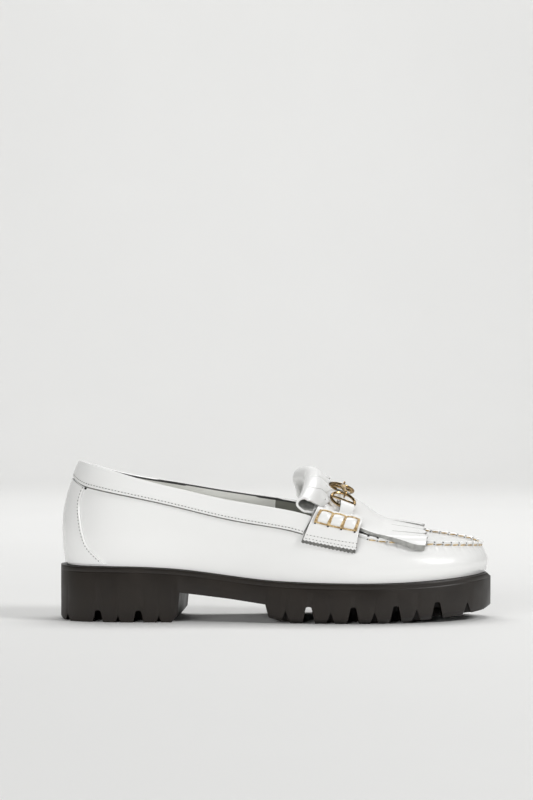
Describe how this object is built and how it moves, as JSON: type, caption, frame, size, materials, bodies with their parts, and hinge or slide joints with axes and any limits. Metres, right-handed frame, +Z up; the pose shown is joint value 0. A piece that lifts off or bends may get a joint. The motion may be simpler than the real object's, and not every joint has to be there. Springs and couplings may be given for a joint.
{
  "type": "lug sole bit loafer",
  "caption": "Right-foot slip-on loafer with a moccasin toe, fringed kiltie, metal bit, side rolls and a thick lugged rubber sole.",
  "frame": {"origin": "middle of the shoe's outline on the floor under the sole", "axes": "+X towards the toe, +Y towards the medial side, +Z up from the floor"},
  "size_m": [0.2626, 0.095, 0.0963],
  "materials": {
    "white_leather": "glossy white box leather",
    "brown_rubber": "matt brown-black moulded rubber",
    "gold_metal": "polished gold plate",
    "grey_lining": "matt light grey lining leather"
  },
  "bodies": {
    "root": {"outsole": "brown_rubber", "insole": "grey_lining", "upper": "white_leather", "collar_band": "white_leather", "heel_counter": "white_leather", "strap_tab_lateral": "white_leather", "strap_tab_medial": "white_leather", "beef_roll_lateral": "white_leather", "beef_roll_medial": "white_leather", "kiltie": "white_leather", "bit_ring_lateral": "gold_metal", "bit_ring_medial": "gold_metal", "bit_bar": "gold_metal", "keeper_lateral": "white_leather", "keeper_medial": "white_leather"}
  },
  "joints": []
}
